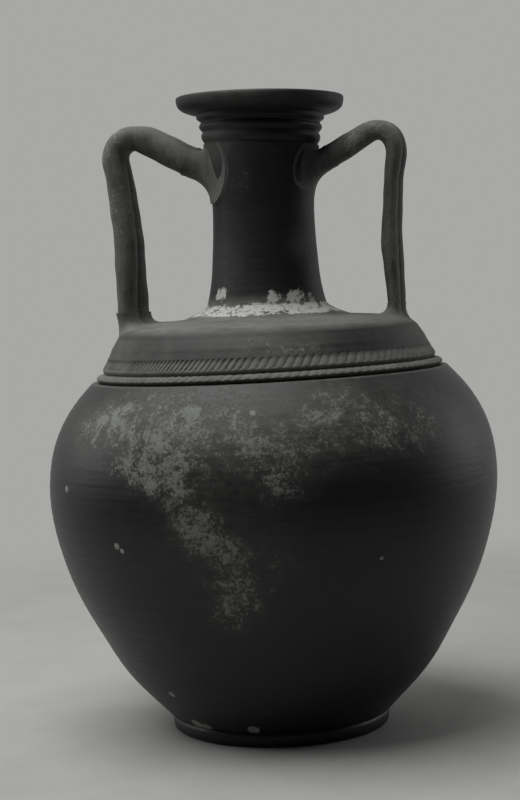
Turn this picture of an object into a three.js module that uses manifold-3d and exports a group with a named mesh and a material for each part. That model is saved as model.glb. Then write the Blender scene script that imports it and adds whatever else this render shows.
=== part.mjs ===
// A two-handled jar of dark burnished pottery, as the thrown and hand-built pieces that a potter joins.
// Millimetres, +Z up. The origin is the centre of the face that the foot rests on. The handles lie along X.
import * as THREE from 'three';
import { mergeVertices } from 'three/addons/utils/BufferGeometryUtils.js';
import Module from 'manifold-3d';

const wasm = await Module();
wasm.setup();

// Joins and walls
const SEAM = 0.3; // the seam left where one piece is shaped to its neighbour
const BODY_WALL = 7;
const NECK_WALL = 7;
const FLOOR_THICKNESS = 9;

// Foot ring
const FOOT_RADIUS = 80;
const FOOT_HEIGHT = 11;
const FOOT_BORE = 60;
const FOOT_EDGE = 3; // rounding of the resting edge
const FOOT_PINCH = 1.6; // how far the foot draws in where it meets the belly

// Belly: radii at the foot joint, at its widest and at the ledge, and the rises between them
const BELLY_BASE_RADIUS = 80.5;
const BELLY_RADIUS = 163.5;
const BELLY_RISE = 169; // from the foot joint up to the widest place
const BELLY_FALL = 78.5; // from the widest place up to the ledge
const LEDGE_RADIUS = 130;
const BELLY_LOWER_CURVE = 1.95;
const BELLY_UPPER_CURVE = 2.42;

// Nicked bands, laid round the root of the shoulder wall
const LOWER_BAND_HEIGHT = 6.5;
const LOWER_BAND_INSET = 4; // from the belly's edge in to the band's crest
const UPPER_BAND_HEIGHT = 10.5;
const UPPER_BAND_INSET = 8.5;
const BAND_GROOVE_INSET = 9.5; // the groove between the two bands
const BAND_EDGE_DEPTH = 1.8; // how far a band's outer edges stand in from its crest

// Shoulder: a sloping wall, a round corner and a low domed top
const SHOULDER_INSET = 12.6; // from the belly's edge in to the foot of the wall
const SHOULDER_WALL_HEIGHT = 14.5;
const SHOULDER_WALL_LEAN = 8;
const SHOULDER_CORNER_RISE = 8.5;
const SHOULDER_TOP_INSET = 28.4; // from the corner in to the highest part of the dome
const REBATE_DEPTH = 2.4; // the step in the wall that takes the bands

// Neck, narrowest at its waist
const NECK_BASE_RADIUS = 44;
const NECK_BASE_RISE = 10.5; // from the shoulder top up to the neck's seat
const NECK_WAIST_RADIUS = 36.9;
const NECK_WAIST_RISE = 70;
const NECK_TOP_RISE = 45;
const NECK_TOP_RADIUS = 42;
const NECK_LOWER_CURVE = 2.3;
const NECK_UPPER_CURVE = 2;

// Ringed collar under the rim, with its rings and grooves from the bottom up: each one's height
// above the collar's seat, and how far it stands out from the top of the neck
const COLLAR_HEIGHT = 22;
const COLLAR_TOP_SWELL = 4.6;
const COLLAR_WALL = 7;
const COLLAR_LOWER_RING = [5.6, 1.4];
const COLLAR_GROOVE = [9.2, 0.5];
const COLLAR_UPPER_RING = [12.6, 2.6];
const COLLAR_UPPER_GROOVE = [16, 1.8];
const COLLAR_STEP = [19, 4.3];

// Rim
const RIM_RADIUS = 61.4;
const RIM_HEIGHT = 14;
const RIM_SIDE_HEIGHT = 6.5;
const RIM_EDGE = 2;
const RIM_LIP_WIDTH = 11; // flat top, before the mouth dishes inward

// Handles: each is two clay rolls pressed side by side, bent once over the corner
const LEFT_HANDLE = {
  side: -1,
  armStandoff: 9, // from the top of the neck's side out to the end of the arm
  armRootDrop: 10.4, // below the top of the neck
  armRise: THREE.MathUtils.degToRad(28),
  armThickness: 21.5,
  gripThickness: 20,
  width: 31,
  bendRadius: 14,
  gripTopRadius: 109,
  gripFootInset: 8.4, // from the shoulder's corner in to the middle of the grip
};
const RIGHT_HANDLE = {
  side: 1,
  armStandoff: 9,
  armRootDrop: 9.8,
  armRise: THREE.MathUtils.degToRad(28),
  armThickness: 17.5,
  gripThickness: 14.5,
  width: 25,
  bendRadius: 13,
  gripTopRadius: 99,
  gripFootInset: 14.4,
};
const PAD_HEIGHT = 9; // lump of clay under each grip, above the shoulder top
const PAD_ROOT_DEPTH = 15; // how far a shoulder pad's outline runs on below the shoulder top
const PAD_SPREAD = 14; // how far a shoulder pad spreads toward the neck and to each side
const PAD_OVERHANG = 3; // how far a shoulder pad runs out over the shoulder's corner
const NECK_PAD_REACH = 24; // distance from the axis where a neck pad's outline ends
const NECK_PAD_SPREAD = 14; // above and below the arm
const NECK_PAD_WRAP = 11; // round the neck, to each side of the arm
const NECK_PAD_DROP = 16; // how far a neck pad sags on its way from the arm to the neck
const PAD_FLARE = 1.2; // above 1, a pad spreads late, as a fillet does

// Facets
const BODY_FACETS = 48;
const NECK_FACETS = 40;
const ROLL_STEPS = 8;

// Heights of the seats, stacked from the foot up
const bellyWidestHeight = FOOT_HEIGHT + BELLY_RISE;
const ledgeHeight = bellyWidestHeight + BELLY_FALL;
const bandJointHeight = ledgeHeight + LOWER_BAND_HEIGHT;
const rebateHeight = bandJointHeight + UPPER_BAND_HEIGHT;
const cornerHeight = rebateHeight + SHOULDER_WALL_HEIGHT;
const shoulderTopHeight = cornerHeight + SHOULDER_CORNER_RISE;
const neckSeatHeight = shoulderTopHeight + NECK_BASE_RISE;
const neckWaistHeight = neckSeatHeight + NECK_WAIST_RISE;
const collarSeatHeight = neckWaistHeight + NECK_TOP_RISE;
const rimSeatHeight = collarSeatHeight + COLLAR_HEIGHT;
const jarHeight = rimSeatHeight + RIM_HEIGHT;

// Radii of the shoulder, all measured in from the ledge
const wallRootRadius = LEDGE_RADIUS - SHOULDER_INSET;
const rebateRadius = wallRootRadius - REBATE_DEPTH;
const cornerRadius = wallRootRadius - SHOULDER_WALL_LEAN;
const shoulderTopRadius = cornerRadius - SHOULDER_TOP_INSET;
const bandBore = rebateRadius + SEAM;
const collarTopRadius = NECK_TOP_RADIUS + COLLAR_TOP_SWELL;
const collarBore = NECK_TOP_RADIUS - COLLAR_WALL;

const pottery = (color, roughness) => new THREE.MeshStandardMaterial({ color, roughness, metalness: 0 });
const finishes = {
  burnished: pottery(0x1f201f, 0.55),
  dusty: pottery(0x4c4d4a, 0.85),
  handled: pottery(0x393a38, 0.75),
};

const at = (radius, height) => new THREE.Vector2(radius, height);

// A stretch of outline between a start and the place where it runs upright: the radius leaves that place
// by a power of the height. Points run upward, whichever of the two is lower.
function bulge(start, upright, power, steps) {
  const points = [];
  for (let i = 0; i <= steps; i += 1) {
    const away = 1 - i / steps;
    const radius = upright.x + (start.x - upright.x) * away ** power;
    const height = upright.y + (start.y - upright.y) * away;
    points.push(at(radius, height));
  }
  return start.y < upright.y ? points : points.reverse();
}

// A rounded profile through a few places.
const smooth = (places, steps) => new THREE.SplineCurve(places).getPoints(steps);

// An outline moved along its own outward normal; a negative distance gives the inside of a wall.
function moved(outline, distance) {
  return outline.map((point, i) => {
    const before = outline[Math.max(i - 1, 0)];
    const after = outline[Math.min(i + 1, outline.length - 1)];
    const along = after.clone().sub(before).normalize();
    return at(point.x + along.y * distance, point.y - along.x * distance);
  });
}

// The inside of a wall between two heights, from the top down, with every second point of the outside.
function insideOf(outline, wall, low, high) {
  const inside = moved(outline, -wall).filter((point, i) => i % 2 === 0 && point.y > low && point.y < high);
  return inside.reverse();
}

// The radius of an outline at a height, or at its nearest end.
function radiusAt(outline, height) {
  const above = outline.findIndex((point) => point.y >= height);
  if (above <= 0) return outline[above < 0 ? outline.length - 1 : 0].x;
  const low = outline[above - 1];
  const high = outline[above];
  return THREE.MathUtils.mapLinear(height, low.y, high.y, low.x, high.x);
}

// A solid of revolution about Z. The profile runs up its outside and down its inside.
function turned(profile, facets) {
  const geometry = new THREE.LatheGeometry(profile, facets);
  geometry.rotateX(Math.PI / 2);
  return geometry;
}

const ring = (profile, facets) => turned([...profile, profile[0].clone()], facets);

// Outer outlines, from the foot joint to the rim's seat
const bellyWidest = at(BELLY_RADIUS, bellyWidestHeight);
const bellyOutline = [
  ...bulge(at(BELLY_BASE_RADIUS, FOOT_HEIGHT), bellyWidest, BELLY_LOWER_CURVE, 9),
  ...bulge(at(LEDGE_RADIUS, ledgeHeight), bellyWidest, BELLY_UPPER_CURVE, 6).slice(1),
];
const shoulderOutline = smooth(
  [
    at(wallRootRadius, rebateHeight),
    at(wallRootRadius - 0.35 * SHOULDER_WALL_LEAN, rebateHeight + 0.5 * SHOULDER_WALL_HEIGHT),
    at(cornerRadius, cornerHeight),
    at(cornerRadius - 0.33 * SHOULDER_TOP_INSET, cornerHeight + 0.7 * SHOULDER_CORNER_RISE),
    at(shoulderTopRadius, shoulderTopHeight),
    at(NECK_BASE_RADIUS + 14, shoulderTopHeight + 0.18 * NECK_BASE_RISE),
    at(NECK_BASE_RADIUS + 4, shoulderTopHeight + 0.7 * NECK_BASE_RISE),
    at(NECK_BASE_RADIUS, neckSeatHeight),
  ],
  18,
);
const neckWaist = at(NECK_WAIST_RADIUS, neckWaistHeight);
const neckOutline = [
  ...bulge(at(NECK_BASE_RADIUS, neckSeatHeight), neckWaist, NECK_LOWER_CURVE, 6),
  ...bulge(at(NECK_TOP_RADIUS, collarSeatHeight), neckWaist, NECK_UPPER_CURVE, 4).slice(1),
];
const collarOutline = smooth(
  [
    [0, 0],
    COLLAR_LOWER_RING,
    COLLAR_GROOVE,
    COLLAR_UPPER_RING,
    COLLAR_UPPER_GROOVE,
    COLLAR_STEP,
    [COLLAR_HEIGHT, COLLAR_TOP_SWELL],
  ].map(([rise, swell]) => at(NECK_TOP_RADIUS + swell, collarSeatHeight + rise)),
  18,
);

function footRing() {
  const edge = [0, 30, 60, 90].map((angle) => {
    const turn = THREE.MathUtils.degToRad(angle - 90);
    const centre = FOOT_RADIUS - FOOT_EDGE;
    return at(centre + FOOT_EDGE * Math.cos(turn), FOOT_EDGE + FOOT_EDGE * Math.sin(turn));
  });
  return ring(
    [
      at(FOOT_BORE, 0),
      ...edge,
      at(FOOT_RADIUS, FOOT_HEIGHT - FOOT_PINCH),
      at(FOOT_RADIUS - FOOT_PINCH, FOOT_HEIGHT),
      at(FOOT_BORE, FOOT_HEIGHT),
    ],
    BODY_FACETS,
  );
}

function belly() {
  const floorHeight = FOOT_HEIGHT + FLOOR_THICKNESS;
  const inside = insideOf(bellyOutline, BODY_WALL, floorHeight, ledgeHeight);
  const floorRadius = radiusAt([...inside].reverse(), floorHeight);
  return turned(
    [
      at(0, FOOT_HEIGHT),
      ...bellyOutline,
      at(rebateRadius - BODY_WALL, ledgeHeight),
      ...inside,
      at(floorRadius - BODY_WALL, floorHeight),
      at(0, floorHeight),
    ],
    BODY_FACETS,
  );
}

// A band between two heights: its outer face swells to a crest and draws in to the given radii.
function band(low, high, lowRadius, crestRadius, highRadius) {
  const crest = at(crestRadius, low + 0.4 * (high - low));
  return ring(
    [
      at(bandBore, low),
      ...bulge(at(lowRadius, low), crest, 2, 2),
      ...bulge(at(highRadius, high), crest, 1.6, 3).slice(1),
      at(bandBore, high),
    ],
    BODY_FACETS,
  );
}

function lowerBand() {
  const crest = LEDGE_RADIUS - LOWER_BAND_INSET;
  const groove = LEDGE_RADIUS - BAND_GROOVE_INSET;
  return band(ledgeHeight, bandJointHeight, crest - BAND_EDGE_DEPTH, crest, groove);
}

function upperBand() {
  const crest = LEDGE_RADIUS - UPPER_BAND_INSET;
  const groove = LEDGE_RADIUS - BAND_GROOVE_INSET;
  return band(bandJointHeight, rebateHeight, groove, crest, crest - 2 * BAND_EDGE_DEPTH);
}

function shoulder() {
  const inside = insideOf(shoulderOutline, BODY_WALL, rebateHeight, neckSeatHeight);
  return ring(
    [
      at(rebateRadius - BODY_WALL, ledgeHeight),
      at(rebateRadius, ledgeHeight),
      at(rebateRadius, rebateHeight),
      ...shoulderOutline,
      at(NECK_BASE_RADIUS - NECK_WALL, neckSeatHeight),
      ...inside.filter((point) => point.x > NECK_BASE_RADIUS - NECK_WALL + 1),
    ],
    BODY_FACETS,
  );
}

function neck() {
  const inside = insideOf(neckOutline, NECK_WALL, neckSeatHeight, collarSeatHeight);
  return ring(
    [
      ...neckOutline,
      at(NECK_TOP_RADIUS - NECK_WALL, collarSeatHeight),
      ...inside,
      at(NECK_BASE_RADIUS - NECK_WALL, neckSeatHeight),
    ],
    NECK_FACETS,
  );
}

function neckCollar() {
  return ring(
    [...collarOutline, at(collarBore, rimSeatHeight), at(collarBore, collarSeatHeight)],
    NECK_FACETS,
  );
}

// The rim swells out over the collar, stands upright, and dishes down into the mouth.
function rim() {
  const sideFoot = jarHeight - RIM_SIDE_HEIGHT;
  const outer = smooth(
    [
      at(collarTopRadius, rimSeatHeight),
      at(THREE.MathUtils.lerp(collarTopRadius, RIM_RADIUS, 0.72), rimSeatHeight + 0.3 * RIM_HEIGHT),
      at(RIM_RADIUS - 0.4, sideFoot),
      at(RIM_RADIUS, jarHeight - 0.5 * RIM_SIDE_HEIGHT),
      at(RIM_RADIUS - 0.25 * RIM_EDGE, jarHeight - 0.35 * RIM_EDGE),
      at(RIM_RADIUS - RIM_EDGE, jarHeight),
    ],
    12,
  );
  const lipInner = RIM_RADIUS - RIM_LIP_WIDTH;
  const dish = bulge(at(lipInner, jarHeight), at(collarBore, rimSeatHeight), 2, 4);
  return ring([...outer, ...dish.reverse()], NECK_FACETS);
}

// Points round the section of two rolls side by side, as thickness and width; the last meets the first.
function rollSection(thickness, width) {
  const rollRadius = thickness / 2;
  const rollOffset = (width - thickness) / 2;
  const open = Math.PI - Math.acos(rollOffset / rollRadius);
  const points = [];
  for (const side of [1, -1]) {
    for (let i = 0; i < ROLL_STEPS; i += 1) {
      const turn = THREE.MathUtils.lerp(-open, open, i / ROLL_STEPS);
      const across = side * (rollOffset + rollRadius * Math.cos(turn));
      points.push({ thick: side * rollRadius * Math.sin(turn), across });
    }
  }
  return points;
}

// Stations along a handle's middle line: the straight arm, the bend, and the straight grip.
// Each has its distance from the axis, height, heading and share of the way from arm to grip.
function handleStations(handle) {
  const rootHeight = collarSeatHeight - handle.armRootDrop;
  const rootRadius = NECK_TOP_RADIUS + handle.armStandoff;
  const root = at(rootRadius, rootHeight);
  const foot = at(cornerRadius - handle.gripFootInset, shoulderTopHeight + PAD_HEIGHT);
  const corner = at(
    handle.gripTopRadius,
    rootHeight + (handle.gripTopRadius - rootRadius) * Math.tan(handle.armRise),
  );
  const armHeading = handle.armRise;
  const gripHeading = foot.clone().sub(corner).angle() - 2 * Math.PI;
  const tangent = handle.bendRadius * Math.tan((armHeading - gripHeading) / 2);
  const ahead = (heading) => at(Math.cos(heading), Math.sin(heading));
  const leftOf = (heading) => at(-Math.sin(heading), Math.cos(heading));
  const bendStart = corner.clone().addScaledVector(ahead(armHeading), -tangent);
  const bendEnd = corner.clone().addScaledVector(ahead(gripHeading), tangent);
  const bendCentre = bendStart.clone().addScaledVector(leftOf(armHeading), -handle.bendRadius);
  const stations = [];
  for (const share of [0, 0.25, 0.5, 0.75]) {
    stations.push({ place: root.clone().lerp(bendStart, share), heading: armHeading, share: 0 });
  }
  const bendSteps = 8;
  for (let i = 0; i <= bendSteps; i += 1) {
    const share = i / bendSteps;
    const heading = THREE.MathUtils.lerp(armHeading, gripHeading, share);
    const place = bendCentre.clone().addScaledVector(leftOf(heading), handle.bendRadius);
    stations.push({ place, heading, share });
  }
  for (const share of [0.25, 0.5, 0.75, 1]) {
    stations.push({ place: bendEnd.clone().lerp(foot, share), heading: gripHeading, share: 1 });
  }
  return stations;
}

// A closed ring of 3-D points: the handle's section set square across a station.
function sectionRing(handle, station) {
  const thickness = THREE.MathUtils.lerp(handle.armThickness, handle.gripThickness, station.share);
  return rollSection(thickness, handle.width).map((point) => new THREE.Vector3(
    handle.side * (station.place.x - Math.sin(station.heading) * point.thick),
    point.across,
    station.place.y + Math.cos(station.heading) * point.thick,
  ));
}

// A closed solid through rings with equal numbers of points, with a fan across each end.
function lofted(rings) {
  const count = rings[0].length;
  const positions = [];
  for (const points of rings) {
    for (const point of points) positions.push(...point.toArray());
  }
  const middleOf = (points) => points
    .reduce((sum, point) => sum.add(point), new THREE.Vector3())
    .divideScalar(count);
  positions.push(...middleOf(rings[0]).toArray(), ...middleOf(rings.at(-1)).toArray());
  const lastRing = (rings.length - 1) * count;
  const firstMiddle = rings.length * count;
  const lastMiddle = firstMiddle + 1;
  const faces = [];
  for (let i = 0; i < count; i += 1) {
    const next = (i + 1) % count;
    for (let row = 0; row < lastRing; row += count) {
      faces.push(row + i, row + next, row + count + i);
      faces.push(row + next, row + count + next, row + count + i);
    }
    faces.push(firstMiddle, next, i);
    faces.push(lastMiddle, lastRing + i, lastRing + next);
  }
  const geometry = new THREE.BufferGeometry();
  geometry.setAttribute('position', new THREE.Float32BufferAttribute(positions, 3));
  geometry.setIndex(faces);
  return outward(geometry);
}

// The same solid with every face turned to point out of it.
function outward(geometry) {
  const index = geometry.index;
  const corner = [0, 1, 2].map(() => new THREE.Vector3());
  let volume = 0;
  for (let i = 0; i < index.count; i += 3) {
    corner.forEach((point, k) => point.fromBufferAttribute(geometry.attributes.position, index.getX(i + k)));
    volume += corner[0].dot(corner[1].clone().cross(corner[2]));
  }
  if (volume < 0) {
    for (let i = 0; i < index.count; i += 3) {
      const first = index.getX(i);
      index.setX(i, index.getX(i + 1));
      index.setX(i + 1, first);
    }
  }
  geometry.computeVertexNormals();
  return geometry;
}

// A geometry as a manifold solid, with shared vertices merged and collapsed triangles dropped.
function solidOf(geometry) {
  const bare = geometry.clone();
  bare.deleteAttribute('normal');
  bare.deleteAttribute('uv');
  const merged = mergeVertices(bare, 1e-4);
  const faces = [];
  for (let i = 0; i < merged.index.count; i += 3) {
    const [a, b, c] = [0, 1, 2].map((k) => merged.index.getX(i + k));
    if (a !== b && b !== c && c !== a) faces.push(a, b, c);
  }
  return new wasm.Manifold(new wasm.Mesh({
    numProp: 3,
    vertProperties: Float32Array.from(merged.attributes.position.array),
    triVerts: Uint32Array.from(faces),
  }));
}

function geometryOf(solid) {
  const mesh = solid.getMesh();
  const geometry = new THREE.BufferGeometry();
  geometry.setAttribute('position', new THREE.BufferAttribute(mesh.vertProperties, 3));
  geometry.setIndex(new THREE.BufferAttribute(mesh.triVerts, 1));
  geometry.computeVertexNormals();
  return geometry;
}

// The space that a host fills, filled to the axis and swollen by the seam.
function hostSolid(outline, facets) {
  const swollen = moved(outline, SEAM);
  const bottom = outline[0].y - PAD_ROOT_DEPTH;
  return solidOf(turned(
    [at(0, bottom), at(swollen[0].x, bottom), ...swollen, at(0, swollen.at(-1).y)],
    facets,
  ));
}

// Rings that spread from a handle's end onto its host, from the rolled section to an oval.
// The rings keep a seam clear of the handle's end.
function padRings(handle, station, outOfEnd, root) {
  const start = sectionRing(handle, station)
    .map((point) => point.addScaledVector(outOfEnd, SEAM));
  const middle = new THREE.Vector3(
    handle.side * station.place.x,
    0,
    station.place.y,
  ).addScaledVector(outOfEnd, SEAM);
  const section = rollSection(root.thickness, root.width);
  const end = section.map((point) => {
    const turn = Math.atan2(point.thick / root.thickness, point.across / root.width);
    return root.middle.clone()
      .addScaledVector(root.thickWay, 0.5 * root.thickness * Math.sin(turn))
      .add(new THREE.Vector3(0, 0.5 * root.width * Math.cos(turn), 0));
  });
  const steps = 6;
  return Array.from({ length: steps + 1 }, (_, i) => {
    const share = i / steps;
    const centre = middle.clone().lerp(root.middle, share);
    return start.map((point, k) => {
      const from = point.clone().sub(middle);
      const to = end[k].clone().sub(root.middle);
      return centre.clone().add(from.lerp(to, share ** PAD_FLARE));
    });
  });
}

function neckPad(handle) {
  const station = handleStations(handle)[0];
  const inward = new THREE.Vector3(
    -handle.side * Math.cos(station.heading),
    0,
    -Math.sin(station.heading),
  );
  const root = {
    middle: new THREE.Vector3(handle.side * NECK_PAD_REACH, 0, station.place.y - NECK_PAD_DROP),
    thickWay: new THREE.Vector3(0, 0, 1),
    thickness: handle.armThickness + 2 * NECK_PAD_SPREAD,
    width: handle.width + 2 * NECK_PAD_WRAP,
  };
  const lump = solidOf(lofted(padRings(handle, station, inward, root)));
  const cut = lump
    .subtract(hostSolid(neckOutline, NECK_FACETS))
    .subtract(hostSolid(collarOutline, NECK_FACETS));
  return geometryOf(cut);
}

function shoulderPad(handle) {
  const station = handleStations(handle).at(-1);
  const downward = new THREE.Vector3(
    handle.side * Math.cos(station.heading),
    0,
    Math.sin(station.heading),
  );
  const innerEdge = station.place.x - 0.5 * handle.gripThickness - PAD_SPREAD;
  const outerEdge = cornerRadius + PAD_OVERHANG;
  const root = {
    middle: new THREE.Vector3(
      handle.side * 0.5 * (innerEdge + outerEdge),
      0,
      shoulderTopHeight - PAD_ROOT_DEPTH,
    ),
    thickWay: new THREE.Vector3(handle.side, 0, 0),
    thickness: outerEdge - innerEdge,
    width: handle.width + 2 * PAD_SPREAD,
  };
  const lump = solidOf(lofted(padRings(handle, station, downward, root)));
  return geometryOf(lump.subtract(hostSolid(shoulderOutline, BODY_FACETS)));
}

function handleGeometry(handle) {
  return lofted(handleStations(handle).map((station) => sectionRing(handle, station)));
}

const jar = new THREE.Group();

function add(name, geometry, material) {
  const mesh = new THREE.Mesh(geometry, material);
  mesh.name = name;
  jar.add(mesh);
}

add('foot_ring', footRing(), finishes.burnished);
add('belly', belly(), finishes.burnished);
add('lower_nicked_band', lowerBand(), finishes.dusty);
add('upper_nicked_band', upperBand(), finishes.dusty);
add('shoulder', shoulder(), finishes.dusty);
add('neck', neck(), finishes.burnished);
add('neck_collar', neckCollar(), finishes.burnished);
add('rim', rim(), finishes.burnished);
for (const [side, handle] of [['left', LEFT_HANDLE], ['right', RIGHT_HANDLE]]) {
  add(`${side}_handle`, handleGeometry(handle), finishes.handled);
  add(`${side}_neck_pad`, neckPad(handle), finishes.handled);
  add(`${side}_shoulder_pad`, shoulderPad(handle), finishes.handled);
}

export default jar;
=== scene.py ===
"""The looks of a two-handled jar of dark burnished pottery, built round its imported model."""

import logging
import math
from dataclasses import dataclass, field
from enum import Enum

import bpy
import numpy as np
from mathutils import Matrix, Vector


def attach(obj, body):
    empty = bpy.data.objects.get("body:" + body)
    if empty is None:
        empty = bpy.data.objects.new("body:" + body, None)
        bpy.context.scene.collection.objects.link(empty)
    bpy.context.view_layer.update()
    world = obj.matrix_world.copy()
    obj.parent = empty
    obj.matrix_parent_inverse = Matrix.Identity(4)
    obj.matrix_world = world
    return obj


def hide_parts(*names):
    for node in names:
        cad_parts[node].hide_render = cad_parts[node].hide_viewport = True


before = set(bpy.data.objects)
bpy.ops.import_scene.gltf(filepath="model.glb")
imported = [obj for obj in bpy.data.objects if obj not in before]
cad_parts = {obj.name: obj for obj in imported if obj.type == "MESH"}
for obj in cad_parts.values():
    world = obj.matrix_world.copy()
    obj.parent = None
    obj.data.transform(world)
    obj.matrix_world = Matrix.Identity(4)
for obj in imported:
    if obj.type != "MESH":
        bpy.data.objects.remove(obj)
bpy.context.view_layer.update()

LOG = logging.getLogger("jar")
MM = 0.001
TURN = math.radians(12.0)  # from the handles' plane to the picture plane
Colour = tuple[float, float, float]
Pair = tuple[float, float]


class Slot(Enum):
    """The record's material slots."""

    BURNISHED = "burnished_pottery"
    DUSTY = "dusty_pottery"
    HANDLE = "handle_pottery"


class Ends(Enum):
    """How the two end rows of a grid are finished."""

    JOINED = "joined"
    CAPPED = "capped"


# Curves and grids


def resampled(line: np.ndarray, step: float) -> np.ndarray:
    """Places points at even steps of arc length along a line.

    Args:
        line: Points, one row each.
        step: Distance between new points, in mm.
    Returns:
        The new points, with both ends kept.
    """
    arc = np.concatenate([[0.0], np.cumsum(np.linalg.norm(np.diff(line, axis=0), axis=1))])
    count = max(2, int(round(arc[-1] / step)) + 1)
    places = np.linspace(0.0, arc[-1], count)
    return np.stack([np.interp(places, arc, column) for column in line.T], axis=1)


def rounded(line: np.ndarray, step: float, blur: float) -> np.ndarray:
    """Rounds a line: each point becomes the bell-weighted mean of its neighbours.

    The line is carried on past each end by its own point reflection, so both ends stay where they are.

    Args:
        line: Points, one row each.
        step: Distance between new points, in mm.
        blur: Spread of the bell, in mm.
    Returns:
        The rounded points.
    """
    points = resampled(np.asarray(line, dtype=float), step)
    reach = min(len(points) - 1, max(1, int(3 * blur / step)))
    before = 2 * points[0] - points[reach:0:-1]
    after = 2 * points[-1] - points[-2:-reach - 2:-1]
    padded = np.concatenate([before, points, after])
    weight = np.exp(-0.5 * (np.arange(-reach, reach + 1) * step / blur) ** 2)
    weight /= weight.sum()
    return np.stack([np.convolve(column, weight, mode="valid") for column in padded.T], axis=1)


def inside_of(line: np.ndarray, wall: float) -> np.ndarray:
    """Moves an outline inwards by the wall, along the normal to its left as it climbs."""
    tangent = np.gradient(line, axis=0)
    tangent /= np.linalg.norm(tangent, axis=1, keepdims=True)
    return line + wall * np.stack([-tangent[:, 1], tangent[:, 0]], axis=1)


def bell(value: np.ndarray, centre: float, half: float, power: float = 2.0) -> np.ndarray:
    """A hump: e to the minus of the distance from the centre, over half the width, raised to a power."""
    return np.exp(-np.abs((value - centre) / half) ** power)


def step_up(value: np.ndarray, low: float, high: float) -> np.ndarray:
    """A soft step from 0 at low to 1 at high: three times the square less twice the cube."""
    share = np.clip((value - low) / (high - low), 0.0, 1.0)
    return share * share * (3.0 - 2.0 * share)


def camera_azimuth(points: np.ndarray) -> np.ndarray:
    """Degrees round the jar from the side that faces the camera, positive to its right."""
    right = points[..., 0] * math.cos(TURN) + points[..., 1] * math.sin(TURN)
    away = points[..., 1] * math.cos(TURN) - points[..., 0] * math.sin(TURN)
    return np.degrees(np.arctan2(right, -away))


def ripple(angle: np.ndarray, height: np.ndarray, seed: int, count: int = 5) -> np.ndarray:
    """Slow unevenness: a sum of seeded waves round the jar that drift with height.

    Args:
        angle: Angles round the axis, in radians.
        height: Heights in mm.
        seed: Seed of the waves.
        count: How many waves there are.
    Returns:
        Values between -1 and 1.
    """
    dice = np.random.default_rng(seed)
    total = np.zeros(np.broadcast(angle, height).shape)
    for order in range(2, 2 + count):
        turn, drift = dice.uniform(0.0, 2 * math.pi), dice.uniform(0.008, 0.03)
        total = total + np.sin(order * angle + turn + drift * height) / order
    return np.clip(total / 1.2, -1.0, 1.0)


@dataclass(frozen=True)
class Hand:
    """The unevenness that a potter's hand leaves in the thrown body, in mm and degrees."""

    heights: tuple[float, ...] = (0.0, 265.0, 424.0, 460.0)
    tilts: tuple[float, ...] = (0.0, 1.18, -2.48, -0.93)
    out_of_round: float = 0.7

    def shape(self, points: np.ndarray) -> np.ndarray:
        """Presses the wall in a little and tips each level to one side.

        A point moves towards the axis by up to out_of_round, and up by its place to the right times the
        tangent of its level's tilt.

        Args:
            points: Points in mm, with the last axis x, y, z.
        Returns:
            The moved points.
        """
        moved = points.copy()
        angle = np.arctan2(points[..., 1], points[..., 0])
        radius = np.hypot(points[..., 0], points[..., 1])
        press = self.out_of_round * 0.5 * (1.0 - ripple(angle, points[..., 2], 7, 3))
        press = press * np.clip(radius / 60.0, 0.0, 1.0)
        moved[..., :2] *= (1.0 - press / np.maximum(radius, 1.0))[..., None]
        right = points[..., 0] * math.cos(TURN) + points[..., 1] * math.sin(TURN)
        tilt = np.radians(np.interp(points[..., 2], self.heights, self.tilts))
        moved[..., 2] += right * np.tan(tilt)
        return moved


HAND = Hand()


def skin(name: str, grid: np.ndarray, ends: Ends, marks: dict[str, np.ndarray]) -> bpy.types.Object:
    """Makes a closed mesh of a grid whose columns run round it.

    Every four neighbours in the grid make a face. The first and last rows are joined, or each is closed by
    a fan to its middle. If the volume, a sixth of the sum of the corner determinants, is negative, the faces
    are turned over.

    Args:
        name: The object's name.
        grid: Points in mm, rows by columns by 3.
        ends: How the end rows are finished.
        marks: Values from 0 to 1 for each grid point, by attribute name.
    Returns:
        The object, at the origin.
    """
    rows, columns = grid.shape[:2]
    index = np.arange(rows * columns).reshape(rows, columns)
    lower = index if ends is Ends.JOINED else index[:-1]
    upper = np.roll(index, -1, axis=0) if ends is Ends.JOINED else index[1:]
    quads = np.stack([lower, np.roll(lower, -1, 1), np.roll(upper, -1, 1), upper], axis=-1).reshape(-1, 4)
    points = grid.reshape(-1, 3)
    fans = np.zeros((0, 3), dtype=int)
    values = {key: np.broadcast_to(value, (rows, columns)).reshape(-1) for key, value in marks.items()}
    if ends is Ends.CAPPED:
        middles = np.stack([grid[0].mean(axis=0), grid[-1].mean(axis=0)])
        first = np.stack([np.full(columns, len(points)), np.roll(index[0], -1), index[0]], axis=1)
        last = np.stack([np.full(columns, len(points) + 1), index[-1], np.roll(index[-1], -1)], axis=1)
        fans = np.concatenate([first, last])
        points = np.concatenate([points, middles])
        values = {key: np.append(value, [value[0], value[-1]]) for key, value in values.items()}
    corners = np.concatenate([quads[:, [0, 1, 2]], quads[:, [0, 2, 3]], fans])
    a, b, c = (points[corners[:, k]] for k in range(3))
    if np.einsum("ij,ij->i", a, np.cross(b, c)).sum() < 0.0:
        quads = quads[:, ::-1]
        fans = fans[:, ::-1]
    mesh = bpy.data.meshes.new(name)
    mesh.from_pydata((points * MM).tolist(), [], quads.tolist() + fans.tolist())
    mesh.polygons.foreach_set("use_smooth", np.ones(len(mesh.polygons), dtype=bool))
    mesh.set_sharp_from_angle(angle=math.radians(48.0))
    for key, value in values.items():
        store = mesh.attributes.new(key, "FLOAT", "POINT")
        store.data.foreach_set("value", np.clip(value, 0.0, 1.0).astype(np.float32))
    mesh.update()
    piece = bpy.data.objects.new(name, mesh)
    bpy.context.scene.collection.objects.link(piece)
    return piece


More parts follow.
